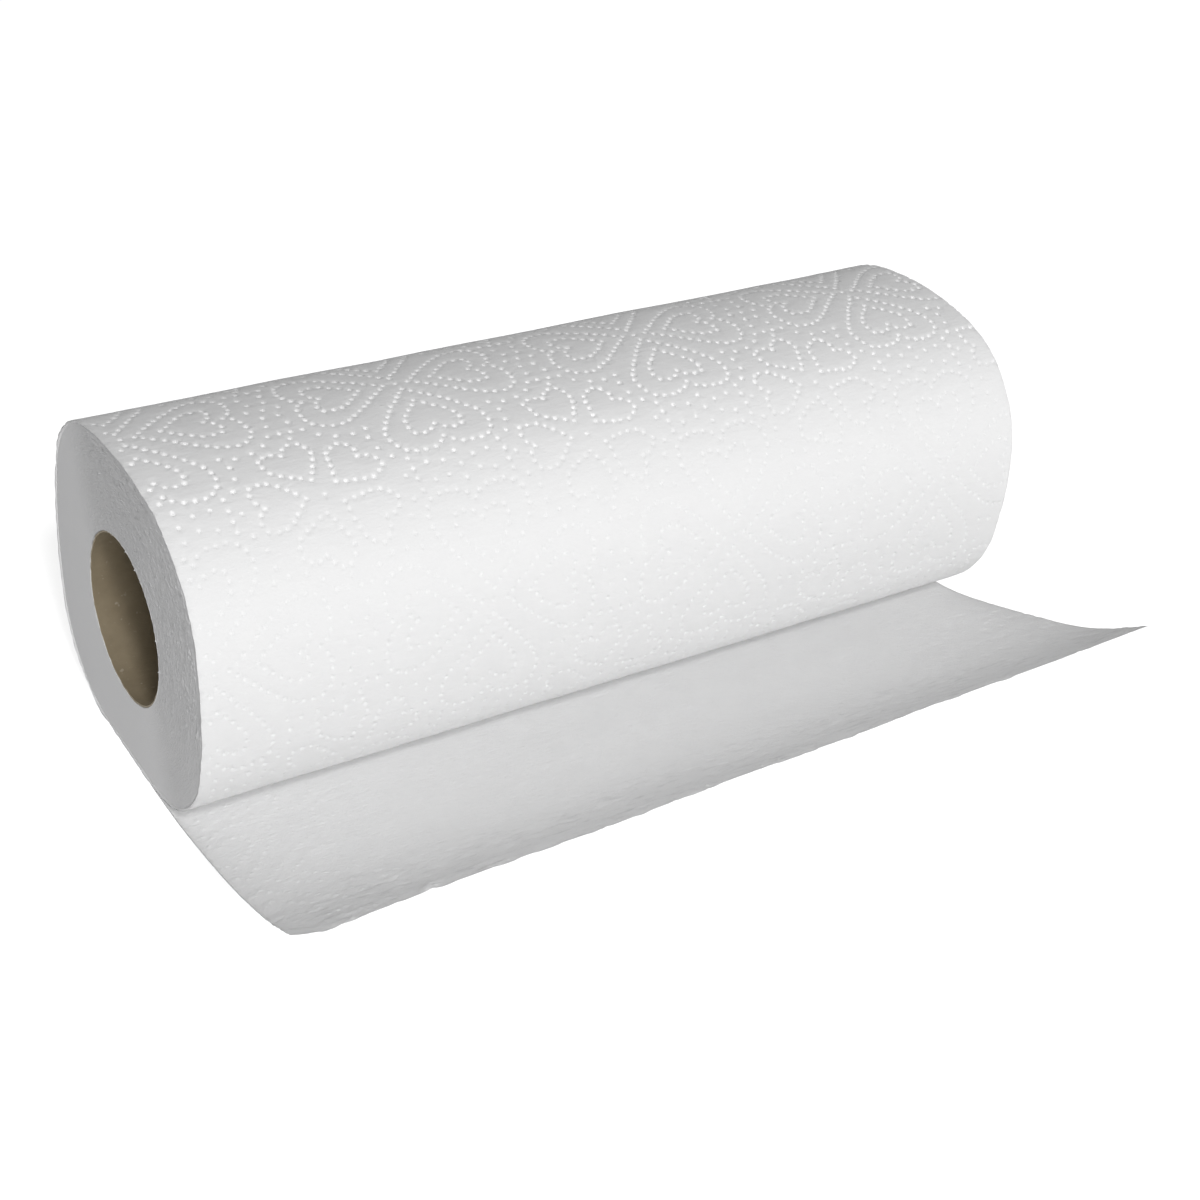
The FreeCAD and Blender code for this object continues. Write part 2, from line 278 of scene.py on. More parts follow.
def embossedPlane(alongStart, alongEnd, dots, bands, seed):
    # flat triangulation of one side of the web, with every dot as two rings round its middle.
    # The paper between the dots gets points in bands along the web, each with its own step.
    # Returns the points, their share of the dot's depth, their distance to the nearest dot,
    # the faces, and how many of the first points run round the edge.
    rng = random.Random(seed)
    rows = round((alongEnd - alongStart) / emboss["edgeStep"])
    columns = round(2 * halfLength / emboss["edgeStep"])
    acrossMarks = np.linspace(-halfLength, halfLength, columns + 1)
    alongMarks = np.linspace(alongStart, alongEnd, rows + 1)
    loop = [(u, alongStart) for u in acrossMarks[:-1]]
    loop += [(halfLength, v) for v in alongMarks[:-1]]
    loop += [(u, alongEnd) for u in acrossMarks[:0:-1]]
    loop += [(-halfLength, v) for v in alongMarks[:0:-1]]
    points = list(loop)

    tree = kdtree.KDTree(len(dots))
    for index, (u, v) in enumerate(dots):
        tree.insert((u, v, 0), index)
    tree.balance()
    # dots that an edge cuts are pressed into the edge points themselves
    reach = emboss["dotRadius"]
    fadeStart, fadeEnd = emboss["edgeFade"]
    depth = []
    for u, v in loop:
        away = float(softStep(tree.find((u, v, 0))[2], fadeStart * reach, fadeEnd * reach))
        depth.append(emboss["edgeDots"] * (1 - away))
    margin = reach * emboss["margin"]
    whole = (np.abs(dots[:, 0]) < halfLength - margin)
    whole &= (dots[:, 1] > alongStart + margin) & (dots[:, 1] < alongEnd - margin)
    corners = emboss["corners"]
    for u, v in dots[whole]:
        # neighbours never overlap
        room = emboss["apart"] * tree.find_n((u, v, 0), 2)[1][2]
        radius = min(reach * rng.uniform(*emboss["radiusSpread"]), room)
        strength = rng.uniform(*emboss["depthSpread"])
        spin = rng.uniform(0, math.tau)
        points.append((u, v))
        depth.append(strength)
        for ring, share in (emboss["wallFoot"], (1.0, 0.0)):
            for corner in range(corners):
                angle = spin + (corner + ring * 0.5) * math.tau / corners
                points.append((u + math.cos(angle) * radius * ring, v + math.sin(angle) * radius * ring))
                depth.append(strength * share)

    clear = reach * emboss["clear"]
    for start, end, step in bands:
        acrossCount = round(2 * halfLength / step)
        alongCount = round((end - start) / step)
        for column in range(1, acrossCount):
            for row in range(1 if start == alongStart else 0, alongCount):
                shift = 0.25 if row % 2 else -0.25
                u = -halfLength + (column + shift + rng.uniform(-0.15, 0.15)) * 2 * halfLength / acrossCount
                v = start + (row + rng.uniform(-0.15, 0.15)) * (end - start) / alongCount
                if tree.find((u, v, 0))[2] > clear:
                    points.append((u, v))
                    depth.append(0.0)
    points = np.array(points)
    found = geometry.delaunay_2d_cdt([Vector(p / mm) for p in points], [], [], 0, 1e-6, False)
    if len(found[0]) != len(points):
        raise ValueError("two points of the embossed paper fell together")
    near = np.array([tree.find((u, v, 0))[2] for u, v in points])
    return points, np.array(depth), near, found[2], len(loop)


def meshPiece(name, points, faces, smooth=True):
    mesh = bpy.data.meshes.new(name)
    mesh.from_pydata([tuple(p) for p in points], [], faces)
    mesh.update()
    mesh.polygons.foreach_set("use_smooth", [smooth] * len(mesh.polygons))
    piece = bpy.data.objects.new(name, mesh)
    bpy.context.scene.collection.objects.link(piece)
    return piece


def setPlane(piece, name, flat):
    # a UV layer from one flat coordinate pair per point
    layer = piece.data.uv_layers.new(name=name)
    corners = np.empty(len(piece.data.loops), np.int32)
    piece.data.loops.foreach_get("vertex_index", corners)
    layer.data.foreach_set("uv", np.asarray(flat)[corners].astype(np.float32).ravel())


def setValues(piece, name, values):
    # one number per point, for the materials
    layer = piece.data.attributes.new(name, "FLOAT", "POINT")
    layer.data.foreach_set("value", values.astype(np.float32))


def weighNormals(piece):
    # normals weighted by area, so the flat paper round a dot stays flat and the dot reads crisp
    mesh = piece.data
    places = np.empty(len(mesh.vertices) * 3, np.float32)
    mesh.vertices.foreach_get("co", places)
    places = places.reshape(-1, 3).astype(float)
    mesh.calc_loop_triangles()
    corners = np.empty(len(mesh.loop_triangles) * 3, np.int32)
    mesh.loop_triangles.foreach_get("vertices", corners)
    corners = corners.reshape(-1, 3)
    first, second, third = (places[corners[:, i]] for i in range(3))
    push = np.cross(second - first, third - first)
    normals = np.zeros_like(places)
    for i in range(3):
        np.add.at(normals, corners[:, i], push)
    normals /= np.maximum(np.linalg.norm(normals, axis=1), 1e-15)[:, None]
    mesh.normals_split_custom_set_from_vertices(normals.tolist())


def bridge(loopA, loopB):
    count = len(loopA)
    return [(loopA[i], loopA[(i + 1) % count], loopB[(i + 1) % count], loopB[i]) for i in range(count)]


# Last turn of the web, embossed, from the seam under the roll to the line where it meets the loose end

outerTurn = {
    "gridStep": 2.3 * mm,
    "nipReach": 26.0 * mm,          # stretch over which the turn rises onto the loose end
    "below": 0.08 * mm,             # outer side under the outline
    "hollow": 0.60 * mm,            # room for the dots, on the inner side
    "rim": 1.5 * mm,                # stretch behind each end over which the inner side hollows
    "innerColumns": 60,
    "innerRows": 120,
    "seatFade": (2 * mm, 6 * mm),   # before and after the end of the seat, where the dents begin
    "pressedFlat": (165 * mm, 190 * mm, 0.50),   # handled front: from, to, share of the dots' depth left
    "edgeWave": 0.25 * mm,          # of the cut ends
    "edgeReach": 6.0 * mm,
    "edgeSizes": (9 * mm, 2.5 * mm),    # long and short waves
    "sag": 0.20 * mm,               # slow dents of the soft paper
    "sagSize": 26.0 * mm,
    "pleat": 0.05 * mm,             # faint pulls between the dots
    "pleatSize": 4.5 * mm,
}


def placeOnTurn(flat, rise):
    # flat is (across, along), rise is the height over the outline
    place, outward = alongTurn(flat[:, 1])
    lift = softStep(flat[:, 1], turnLength - outerTurn["nipReach"], turnLength) * rollShape["gauge"]
    place = place + outward * (rise - lift)[:, None]
    inner = halfLength - outerTurn["edgeReach"]
    atEdge = np.sign(flat[:, 0]) * softStep(np.abs(flat[:, 0]), inner, halfLength)
    longWave, shortWave = outerTurn["edgeSizes"]
    wave = noiseAlong(flat[:, 1], longWave, 3.1) + 0.5 * noiseAlong(flat[:, 1], shortWave, 8.4)
    across = flat[:, 0] + atEdge * wave * outerTurn["edgeWave"]
    return np.column_stack((across, place))


def slowDents(flat, dents):
    sag = noiseAt(flat[:, 0], flat[:, 1], dents["sagSize"], 1.7) * dents["sag"]
    pleat = noiseAt(flat[:, 0] * 0.35, flat[:, 1], dents["pleatSize"], 5.3) * dents["pleat"]
    return sag + pleat


def makeOuterTurn():
    dots = embossDots(0, turnLength, 11)
    bands = ((0, turnLength, outerTurn["gridStep"]),)
    flat, depth, near, faces, loopSize = embossedPlane(0, turnLength, dots, bands, 21)
    puff = emboss["puff"] * softStep(near, emboss["dotRadius"], emboss["puffReach"])
    before, after = outerTurn["seatFade"]
    onSeat = 1 - softStep(flat[:, 1], seatLength - before, seatLength + after)
    first, last, left = outerTurn["pressedFlat"]
    handled = softStep(flat[:, 1], first, last)
    dotDepth = emboss["dotDepth"] * (1 - (1 - left) * handled)
    rise = (slowDents(flat, outerTurn) + puff) * (1 - onSeat) - depth * dotDepth
    outside = placeOnTurn(flat, rise - outerTurn["below"])
    # plain inner side, joined to the outer one round its edge
    rim = outerTurn["rim"]
    rows = outerTurn["innerRows"]
    acrossMarks = np.linspace(-halfLength + rim, halfLength - rim, outerTurn["innerColumns"])
    innerFlat = np.array([(u, turnLength * j / rows) for j in range(1, rows) for u in acrossMarks])
    innerFlat = np.concatenate((flat[:loopSize], innerFlat))
    hollow = outerTurn["hollow"] * softStep(halfLength - np.abs(innerFlat[:, 0]), 0, rim)
    inside = placeOnTurn(innerFlat, -hollow - outerTurn["below"] - rollShape["gauge"])
    innerPoints = [Vector(p / mm) for p in innerFlat]
    innerFaces = geometry.delaunay_2d_cdt(innerPoints, [], [], 0, 1e-6, False)[2]
    offset = len(flat)
    faces = [tuple(face[::-1]) for face in faces]
    faces += [tuple(offset + i for i in face) for face in innerFaces]
    faces += bridge(list(range(loopSize)), [offset + i for i in range(loopSize)])
    piece = meshPiece("outer_turn", np.concatenate((outside, inside)), faces)
    setPlane(piece, "webPlane", np.concatenate((flat, innerFlat)))
    # depth of the dots, which the material paints paler as denser paper and painted highlight
    setValues(piece, "pressed", np.concatenate((depth * (1 - handled), np.zeros(len(innerFlat)))))
    weighNormals(piece)
    print("outer turn", len(dots), "dots", len(faces), "faces")
    return piece


# Loose end: the same web, seen from its other side, lifting off the ground towards its torn edge

looseEnd = {
    "nearLength": 82.3 * mm,
    "farLength": 93.8 * mm,
    "nearTurns": (6.5, 8.2, 18.4),      # degrees over three equal stretches
    "farTurns": (18.0, 3.0, 19.4),
    "gridStep": 2.0 * mm,
    "lowStep": 3.2 * mm,                # on the side that faces the ground
    "fineStep": 0.95 * mm,              # in the creased band near the torn edge
    "fineFrom": 62.0 * mm,
    "bump": 0.06 * mm,                  # dots seen from behind
    "edgeBump": 0.10 * mm,              # and more of them towards the near edge
    "edgeBumpFade": (-108 * mm, -72 * mm),    # across
    "lowDots": 0.7,                     # share of the dots' depth on the side that faces the ground
    "lifts": (12 * mm, 45 * mm),        # along the web, from flat on the ground to free of it
    "liftRise": 0.32 * mm,
    "tornWave": 0.32 * mm,
    "tornSizes": (16 * mm, 3 * mm),     # long and short waves
    "tornFrom": (2 * mm, 20 * mm),      # from the near edge, which is straight
    "tornGauge": 0.12 * mm,             # the torn edge is thin
    "tornThin": 5.0 * mm,
    "tornReach": 0.93,                  # share of the length where its waves begin
    "cornerCut": 6.0 * mm,              # near corner worn off
    "cornerReach": 4.2 * mm,
    "cornerFrom": 0.80,                 # share of the length
    # small flap: across, from the torn edge, half width, height
    "flap": (-86 * mm, 1.6 * mm, 1.3 * mm, 1.0 * mm),
    "crease": 0.20 * mm,                # short creases near the torn edge
    "creaseSize": 1.9 * mm,             # along the web, and across in shares of it
    "creaseStretch": 0.52,
    "creasedFront": (56 * mm, 72 * mm),                         # along the web
    "creasedFar": ((60 * mm, 100 * mm), (14 * mm, 40 * mm)),    # across, and along the web
    "sag": 0.30 * mm,
    "sagSize": 24.0 * mm,
    "pleat": 0.06 * mm,
    "pleatSize": 4.0 * mm,
}
meanTail = (looseEnd["nearLength"] + looseEnd["farLength"]) / 2


def tailEdge(share, length, turns):
    # Y, Z and slope of one edge of the loose end at shares of its length
    stretch = length / len(turns)
    y = np.zeros(len(share))
    z = np.zeros(len(share))
    slope = np.zeros(len(share))
    for index, degrees in enumerate(turns):
        part = np.clip(share * len(turns) - index, 0, 1 if index < len(turns) - 1 else 2)
        radius = stretch / math.radians(degrees)
        after = slope + part * math.radians(degrees)
        y -= radius * (np.sin(after) - np.sin(slope))
        z += radius * (np.cos(slope) - np.cos(after))
        slope = after
    return y, z, slope


def placeOnTail(flat, rise):
    # flat is (across, distance from the seam at the mean length)
    share = flat[:, 1] / meanTail
    longTear, shortTear = looseEnd["tornSizes"]
    torn = noiseAlong(flat[:, 0], longTear, 2.2) + 0.4 * noiseAlong(flat[:, 0], shortTear, 6.6)
    first, last = looseEnd["tornFrom"]
    torn = torn * softStep(flat[:, 0], first - halfLength, last - halfLength)
    share = share + softStep(share, looseEnd["tornReach"], 1.0) * torn * looseEnd["tornWave"] / meanTail
    corner = np.clip(1 - (flat[:, 0] + halfLength) / looseEnd["cornerReach"], 0, 1)
    worn = softStep(share, looseEnd["cornerFrom"], 1.0) * corner
    share = share - worn * looseEnd["cornerCut"] / meanTail
    nearY, nearZ, nearSlope = tailEdge(share, looseEnd["nearLength"], looseEnd["nearTurns"])
    farY, farZ, farSlope = tailEdge(share, looseEnd["farLength"], looseEnd["farTurns"])
    far = (flat[:, 0] + halfLength) / (2 * halfLength)
    slope = nearSlope * (1 - far) + farSlope * far
    y = seatFront + nearY * (1 - far) + farY * far + rise * np.sin(slope)
    z = -rollShape["seatHeight"] + nearZ * (1 - far) + farZ * far + rise * np.cos(slope)
    return np.column_stack((flat[:, 0], y, z))


def makeLooseEnd():
    dots = embossDots(-meanTail, 0, 12) * (1, -1)
    creased = looseEnd["fineFrom"]
    topBands = ((0, creased, looseEnd["gridStep"]), (creased, meanTail, looseEnd["fineStep"]))
    lowBands = ((0, meanTail, looseEnd["lowStep"]),)
    topFlat, topShare, _, topFaces, loopSize = embossedPlane(0, meanTail, dots, topBands, 22)
    lowFlat, lowShare, _, lowFaces, _ = embossedPlane(0, meanTail, dots, lowBands, 22)
    sides = []
    for flat, depth, upper in ((topFlat, topShare, True), (lowFlat, lowShare, False)):
        free = softStep(flat[:, 1], *looseEnd["lifts"])
        crease = noiseAt(flat[:, 0] * looseEnd["creaseStretch"], flat[:, 1], looseEnd["creaseSize"], 4.4)
        atFront = softStep(flat[:, 1], *looseEnd["creasedFront"])
        farAcross, farAlong = looseEnd["creasedFar"]
        atFar = softStep(flat[:, 0], *farAcross) * softStep(flat[:, 1], *farAlong)
        crease = -softStep(crease, 0.0, 0.5) * looseEnd["crease"] * np.maximum(atFront, atFar)
        across, back, width, height = looseEnd["flap"]
        flap = np.exp(-((flat[:, 0] - across) / width) ** 2 - ((flat[:, 1] - meanTail + back) / width) ** 2)
        dents = (slowDents(flat, looseEnd) + crease) * free + looseEnd["liftRise"] * free + flap * height
        if upper:
            torn = softStep(flat[:, 1], meanTail - looseEnd["tornThin"], meanTail)
            gauge = rollShape["gauge"] * (1 - torn) + looseEnd["tornGauge"] * torn
            atNear = 1 - softStep(flat[:, 0], *looseEnd["edgeBumpFade"])
            bump = looseEnd["bump"] + looseEnd["edgeBump"] * atNear
            sides.append(placeOnTail(flat, gauge + dents + depth * bump))
        else:
            pressed = depth * emboss["dotDepth"] * looseEnd["lowDots"] * free
            sides.append(placeOnTail(flat, dents + pressed))
    offset = len(topFlat)
    faces = list(topFaces)
    faces += [tuple(offset + i for i in face[::-1]) for face in lowFaces]
    faces += [face[::-1] for face in bridge(list(range(loopSize)), [offset + i for i in range(loopSize)])]
    piece = meshPiece("loose_end", np.concatenate(sides), faces)
    setPlane(piece, "webPlane", np.concatenate((topFlat, lowFlat)))
    weighNormals(piece)
    print("loose end", len(dots), "dots", len(faces), "faces")
    return piece


# The wound turns: edges of the paper round the core at both ends, plain tubes in between

woundTurns = {
    "turns": 52,
    "rowsPerTurn": 2,
    "around": 400,
    "ridge": 0.05 * mm,             # edge of each turn
    "bundle": 0.05 * mm,            # groups of turns that stand proud
    "smoothRidge": 0.3,             # share of both that is left where the end is brushed flat
    "fray": 0.09 * mm,
    "frayFrom": (-24 * mm, 8 * mm, 0.3),    # height over the axis, and share of the fray below it
    "roundNoise": 3,                # steps of the noise round the roll
    "bundleNoise": (1, 0.13),       # times those, and steps from turn to turn
    "frayNoise": (7, 1.7),
    "tickShare": 0.05,              # raised fibre ends
    "tickFrom": (0.45, 0.95, 0.35),     # share of the way out, and share of the ticks inside it
    "tickSpread": (0.4, 1.0),
    "tickHeight": 0.32 * mm,
    "dish": 0.10 * mm,
    "dishEnd": 0.9,                 # share of the way out
    "endInset": 0.15 * mm,
    "rimDrop": 0.12 * mm,
    "rimFrom": 0.96,
    "boreGap": 0.05 * mm,
    "inset": 0.54 * mm,             # outer turn's thickness
    "sunk": 1.22 * mm,              # tube under the dots
    "sunkFrom": 1.6 * mm,           # behind each end
    # rough and painted with shade in front of this line, brushed flat behind it: Z and Y in millimetres
    "roughLine": ((-36, -23), (-16, -17.6), (14, 18.7), (31, 25)),
    "roughFade": (-9, 8),           # from rough to flat across that line, in millimetres
}


def outlineReach(angles):
    # distance from the core axis to the outline at bearings round the roll
    marks = np.linspace(0, turnLength, 1400)
    place, _ = alongTurn(marks)
    place = place[:-1]
    bearings = np.unwrap(np.arctan2(place[:, 1], place[:, 0]))
    reach = np.hypot(place[:, 0], place[:, 1])
    wanted = (angles - bearings[0]) % math.tau + bearings[0]
    return np.interp(wanted, bearings, reach, period=math.tau)


def turnNoise(ring, turn, seed, finer, perTurn):
    return np.array([noise.noise((a * finer, b * finer, t * perTurn + seed))
                     for (a, b), t in zip(ring, turn)])


def makeTurnsEnd(side, seed):
    around = woundTurns["around"]
    rows = woundTurns["turns"] * woundTurns["rowsPerTurn"]
    index = np.arange(around * (rows + 1))
    row = index // around
    angle = (index % around) * math.tau / around
    share = row / rows
    bore = rollShape["paperBore"] + woundTurns["boreGap"]
    rim = outlineReach(angle) - woundTurns["inset"]
    radius = bore + (rim - bore) * share
    y = np.cos(angle) * radius
    z = np.sin(angle) * radius
    lineZ, lineY = np.array(woundTurns["roughLine"]).T
    roughAndShaded = 1 - softStep(y / mm - np.interp(z / mm, lineZ, lineY), *woundTurns["roughFade"])
    ridge = np.where(row % woundTurns["rowsPerTurn"] == 0, 1.0, -1.0) * woundTurns["ridge"]
    turn = row // woundTurns["rowsPerTurn"]
    ring = np.stack((np.cos(angle), np.sin(angle)), 1) * woundTurns["roundNoise"]
    bundle = turnNoise(ring, turn, seed, *woundTurns["bundleNoise"])
    fray = turnNoise(ring, turn, seed, *woundTurns["frayNoise"])
    rng = np.random.default_rng(round(seed) + 5)
    first, last, inside = woundTurns["tickFrom"]
    outside = inside + (1 - inside) * softStep(share, first, last)
    raised = rng.random(len(row)) < woundTurns["tickShare"] * outside
    ticks = raised * rng.uniform(*woundTurns["tickSpread"], len(row))
    height = -woundTurns["dish"] * (1 - softStep(share, 0.0, woundTurns["dishEnd"]))
    height -= woundTurns["rimDrop"] * softStep(share, woundTurns["rimFrom"], 1)
    flatter = woundTurns["smoothRidge"]
    height += (ridge + bundle * woundTurns["bundle"]) * (flatter + (1 - flatter) * roughAndShaded)
    first, last, below = woundTurns["frayFrom"]
    upper = below + (1 - below) * softStep(z, first, last)
    height += (fray * woundTurns["fray"] + ticks * woundTurns["tickHeight"]) * roughAndShaded * upper * (row < rows)
    x = side * (halfLength - woundTurns["endInset"] + height)
    faces = []
    for r in range(rows):
        for a in range(around):
            here = r * around + a
            beside = r * around + (a + 1) % around
            quad = (here, beside, beside + around, here + around)
            faces.append(quad if side < 0 else quad[::-1])
    return np.column_stack((x, y, z)), faces, roughAndShaded, share * woundTurns["turns"]


def makeWoundTurns():
    nearPoints, nearFaces, nearRoughAndShaded, nearTurn = makeTurnsEnd(-1, 0.0)
    farPoints, farFaces, farRoughAndShaded, farTurn = makeTurnsEnd(1, 31.0)
    around = woundTurns["around"]
    offset = len(nearPoints)
    faces = nearFaces + [tuple(offset + i for i in face) for face in farFaces]
    # two more rings carry the tube under the dots of the outer turn
    angle = np.arange(around) * math.tau / around
    radius = outlineReach(angle) - woundTurns["sunk"]
    rings = []
    for side in (-1, 1):
        x = np.full(around, side * (halfLength - woundTurns["sunkFrom"]))
        rings.append(np.column_stack((x, np.cos(angle) * radius, np.sin(angle) * radius)))
    bores = [list(range(first, first + around)) for first in (0, offset)]
    starts = (offset - around, 2 * offset, 2 * offset + around, 2 * offset - around)
    loops = [list(range(first, first + around)) for first in starts]
    faces += bridge(*bores)
    for first, second in zip(loops, loops[1:]):
        faces += [wall[::-1] for wall in bridge(first, second)]
    zeros = np.zeros(2 * around)
    points = np.concatenate((nearPoints, farPoints, *rings))
    piece = meshPiece("wound_turns", points, faces)
    # the rough part, which the material also paints darker as shade
    setValues(piece, "roughAndShaded", np.concatenate((nearRoughAndShaded, farRoughAndShaded, zeros)))
    setValues(piece, "turn", np.concatenate((nearTurn, farTurn, zeros)))
    weighNormals(piece)
    print("wound turns", len(faces), "faces")
    return piece


# Cardboard core: spiral wound tube with a cut rim

core = {
    "around": 120,
    "along": 150,
    "plyPitch": 62 * mm,
    "seamDepth": 0.08 * mm,
    "seamHalf": 0.8 * mm,
    "dent": 0.12 * mm,
    "dentSize": 40 * mm,
    "dentRound": 1.6,               # steps of the noise round the tube
    "wall": 0.45 * mm,
    "rimWave": 0.15 * mm,
    "rimRound": 14,
    "rimBand": 0.5 * mm,
    "recess": 0.38 * mm,
}


def makeCore():
    outer = coreHigh.z
    inner = outer - core["wall"]
    around = core["around"]
    along = core["along"]
    end = halfLength - core["recess"]
    points = []
    for wall in (inner, outer):
        for step in range(along + 1):
            # closer rows near both mouths
            x = -math.cos(math.pi * step / along) * end
            for turn in range(around):
                angle = math.tau * turn / around
                c, s = math.cos(angle), math.sin(angle)
                seam = (x / core["plyPitch"] + turn / around) % 1.0
                groove = math.exp(-((min(seam, 1 - seam) * core["plyPitch"]) / core["seamHalf"]) ** 2)
                dent = noise.noise((c * core["dentRound"], s * core["dentRound"], x / core["dentSize"]))
                uneven = groove * core["seamDepth"] + dent * core["dent"]
                reach = wall + uneven * (1 if wall == inner else 0)
                atEnd = abs(x) > end - core["rimBand"]
                ragged = noise.noise((c * core["rimRound"], s * core["rimRound"], x / mm)) if atEnd else 0
                points.append((x + ragged * core["rimWave"] * math.copysign(1, x), c * reach, s * reach))
    faces = []
    layer = (along + 1) * around
    for step in range(along):
        for turn in range(around):
            a = step * around + turn
            b = step * around + (turn + 1) % around
            faces.append((a, b, b + around, a + around))
            faces.append((layer + a, layer + a + around, layer + b + around, layer + b))
    for turn in range(around):
        after = (turn + 1) % around
        last = along * around
        faces.append((turn, layer + turn, layer + after, after))
        faces.append((last + turn, last + after, layer + last + after, layer + last + turn))
    piece = meshPiece("core_tube", points, faces)
    print("core", len(faces), "faces")
    return piece


outerPiece = makeOuterTurn()
loosePiece = makeLooseEnd()
turnsPiece = makeWoundTurns()
corePiece = makeCore()


# Shared effects

def newGroup(name, inputs, outputs):
    group = bpy.data.node_groups.new(name, "ShaderNodeTree")
    for label, kind, value in inputs:
        socket = group.interface.new_socket(label, in_out="INPUT", socket_type=kind)
        if value is not None:
            socket.default_value = value
    for label, kind in outputs:
        group.interface.new_socket(label, in_out="OUTPUT", socket_type=kind)
    start = group.nodes.new("NodeGroupInput")
    end = group.nodes.new("NodeGroupOutput")
    return group, start, end


def addNode(tree, kind, settings=None, **values):
    node = tree.nodes.new(kind)
    for key, value in (settings or {}).items():
        setattr(node, key, value)
    for key, value in values.items():
        node.inputs[key.replace("_", " ")].default_value = value
    return node


def addMath(tree, operation):
    return addNode(tree, "ShaderNodeMath", {"operation": operation})


def addMix(tree, kind="RGBA", **values):
    return addNode(tree, "ShaderNodeMix", {"data_type": kind}, **values)


def addRange(tree, start, end, **values):
    return addNode(tree, "ShaderNodeMapRange", From_Min=start, From_Max=end, **values)


def makeFibreGroup():
    # matted fibres: fine stretched grain plus soft clouds, as a height and a tint
    group, start, end = newGroup(
        "fibres",
        [("Plane", "NodeSocketVector", None), ("Grain", "NodeSocketFloat", 900.0),
         ("Stretch", "NodeSocketFloat", 0.4), ("Cloud", "NodeSocketFloat", 120.0),
         ("Light", "NodeSocketColor", (0.9, 0.9, 0.9, 1)), ("Dark", "NodeSocketColor", (0.8, 0.8, 0.8, 1))],
        [("Height", "NodeSocketFloat"), ("Tint", "NodeSocketColor")])
    stretch = addNode(group, "ShaderNodeCombineXYZ", X=1.0, Y=1.0, Z=1.0)
    scaled = addNode(group, "ShaderNodeVectorMath", {"operation": "MULTIPLY"})
    fine = addNode(group, "ShaderNodeTexNoise", Detail=4.0, Roughness=0.65)
    cloud = addNode(group, "ShaderNodeTexNoise", Detail=3.0, Roughness=0.55)
    height = addMath(group, "MULTIPLY_ADD")
    height.inputs[1].default_value = 0.35    # the clouds' share
    tint = addMix(group)
    link = group.links.new
    link(start.outputs["Stretch"], stretch.inputs["X"])
    link(start.outputs["Plane"], scaled.inputs[0])
    link(stretch.outputs[0], scaled.inputs[1])
    link(scaled.outputs[0], fine.inputs["Vector"])
    link(start.outputs["Grain"], fine.inputs["Scale"])
    link(start.outputs["Plane"], cloud.inputs["Vector"])
    link(start.outputs["Cloud"], cloud.inputs["Scale"])
    link(cloud.outputs["Fac"], height.inputs[0])
    link(fine.outputs["Fac"], height.inputs[2])
    link(height.outputs[0], end.inputs["Height"])
    link(cloud.outputs["Fac"], tint.inputs["Factor"])
    link(start.outputs["Dark"], tint.inputs["A"])
    link(start.outputs["Light"], tint.inputs["B"])
    link(tint.outputs["Result"], end.inputs["Tint"])
    return group


fibres = makeFibreGroup()


def addFibres(tree, grain, stretch, cloud, **colours):
    return addNode(tree, "ShaderNodeGroup", {"node_tree": fibres}, Grain=grain, Stretch=stretch, Cloud=cloud,
                   **colours)


def newMaterial(name, roughness, specular):
    material = bpy.data.materials.new(name)
    material.use_nodes = True
    tree = material.node_tree
    shader = tree.nodes["Principled BSDF"]
    shader.inputs["Roughness"].default_value = roughness
    shader.inputs["Specular IOR Level"].default_value = specular
    return material, tree, shader


tissue = {
    "light": (0.90, 0.90, 0.90, 1),
    "dark": (0.865, 0.865, 0.868, 1),
    "dots": (0.97, 0.97, 0.97, 1),  # pressed dots painted paler: partly their denser paper, partly a painted highlight
    "grain": 1500.0,
    "stretch": 0.45,
    "cloud": 150.0,
    "bump": 0.10 * mm,
    "pullGrain": 520.0,             # fine pulls between the dots
    "pullStretch": 0.32,
    "pullCloud": 90.0,
    "pullBump": 0.16 * mm,
    "dotsFrom": (0.05, 0.40),       # share of the depth
    "creaseShade": 0.0,                  # painted shade in the creases, in share
    "creaseShadeColour": (0.60, 0.60, 0.605, 1),
    "creaseShadeFrom": (0.056, 0.074),   # along the web, in metres
    "creaseShadePull": (0.72, 0.92),     # height of the pulls where the painted shade lies
    "specular": 0.2,
    "roughness": 0.95,
    "sheen": 0.08,
}


